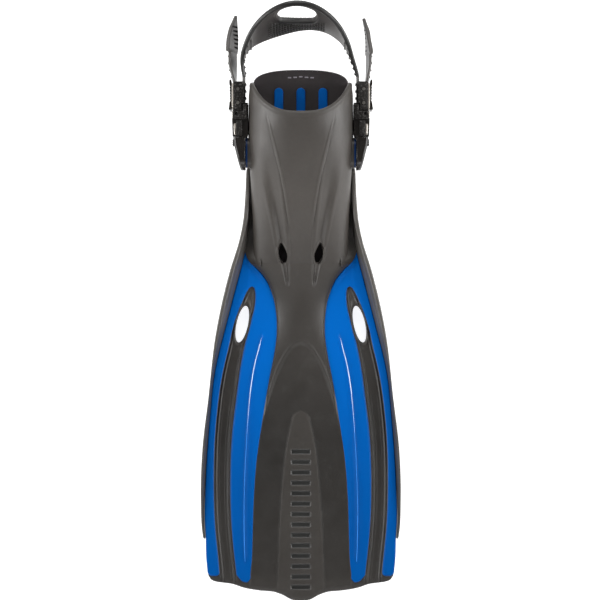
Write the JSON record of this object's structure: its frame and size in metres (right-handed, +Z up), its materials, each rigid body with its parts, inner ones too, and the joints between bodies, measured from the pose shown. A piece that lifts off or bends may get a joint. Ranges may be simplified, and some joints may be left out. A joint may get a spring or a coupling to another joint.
{
  "type": "open-heel swim fin",
  "caption": "Open-heel swim fin with a drained foot pocket, two-material paddle blade, side rails, swivelling quick-release buckles and a rubber heel strap with a finger hole",
  "frame": {"origin": "on the floor plane, under the middle of the whole fin's length and width", "axes": "+X to the wearer's right across the fin, +Y from the blade tip to the heel strap, +Z up from the sole"},
  "size_m": [0.2182, 0.65, 0.086],
  "materials": {
    "grey_rubber": "satin, fine moulded grain",
    "dark_rubber": "satin, fine moulded grain",
    "blue_plastic": "semi-gloss",
    "black_plastic": "gloss",
    "steel": "brushed"
  },
  "bodies": {
    "fin": {"foot_pocket": "grey_rubber", "footbed": "dark_rubber", "footbed_ribs": "blue_plastic", "blade_web": "dark_rubber", "blue_panel_left": "blue_plastic", "blue_panel_right": "blue_plastic", "rail_left": "dark_rubber", "rail_right": "dark_rubber", "strap_post_left": "blue_plastic", "strap_post_right": "blue_plastic", "pivot_screws": "steel"},
    "strap": {"heel_strap": "grey_rubber", "clip_frame_left": "black_plastic", "frame_pins_left": "steel", "roller_pin_left": "steel", "lever_pin_left": "steel", "clip_frame_right": "black_plastic", "frame_pins_right": "steel", "roller_pin_right": "steel", "lever_pin_right": "steel"},
    "buckle_base_left": {"swivel_left": "black_plastic"},
    "button_left": {"release_button_left": "black_plastic"},
    "roller_left": {"roller_left": "black_plastic"},
    "lever_left": {"lock_lever_left": "black_plastic"},
    "buckle_base_right": {"swivel_right": "black_plastic"},
    "button_right": {"release_button_right": "black_plastic"},
    "roller_right": {"roller_right": "black_plastic"},
    "lever_right": {"lock_lever_right": "black_plastic"}
  },
  "joints": [
    {"name": "strap_swing_left", "type": "hinge", "parent": "fin", "child": "buckle_base_left", "pos_m": [-0.067, 0.16, 0.04], "axis": [1, 0, 0], "range_deg": [-10, 110]},
    {"name": "strap_swing_right", "type": "hinge", "parent": "fin", "child": "buckle_base_right", "pos_m": [0.067, 0.16, 0.04], "axis": [1, 0, 0], "range_deg": [-10, 110]},
    {"name": "unclip", "type": "slide", "parent": "buckle_base_left", "child": "strap", "axis": [0, 1, 0], "range_m": [0, 0.02]},
    {"name": "release_left", "type": "slide", "parent": "buckle_base_left", "child": "button_left", "axis": [1, 0, 0], "range_m": [0, 0.001], "stiffness_N_per_m": 1500, "springref_m": -0.001},
    {"name": "release_right", "type": "slide", "parent": "buckle_base_right", "child": "button_right", "axis": [-1, 0, 0], "range_m": [0, 0.001], "stiffness_N_per_m": 1500, "springref_m": -0.001},
    {"name": "lock_lever_left", "type": "hinge", "parent": "strap", "child": "lever_left", "pos_m": [-0.0762, 0.211, 0.04], "axis": [0, 0, 1], "range_deg": [0, 25], "stiffness_Nm_per_rad": 0.12, "springref_deg": -11.46},
    {"name": "lock_lever_right", "type": "hinge", "parent": "strap", "child": "lever_right", "pos_m": [0.0762, 0.211, 0.04], "axis": [0, 0, -1], "range_deg": [0, 25], "stiffness_Nm_per_rad": 0.12, "springref_deg": -11.46},
    {"name": "roller_spin_left", "type": "hinge", "parent": "strap", "child": "roller_left", "pos_m": [-0.0664, 0.193, 0.04], "axis": [0, 0, 1], "continuous": true},
    {"name": "roller_spin_right", "type": "hinge", "parent": "strap", "child": "roller_right", "pos_m": [0.0664, 0.193, 0.04], "axis": [0, 0, 1], "continuous": true}
  ],
  "couplings": [
    {"joint": "strap_swing_right", "follows": "strap_swing_left", "ratio": 1}
  ]
}
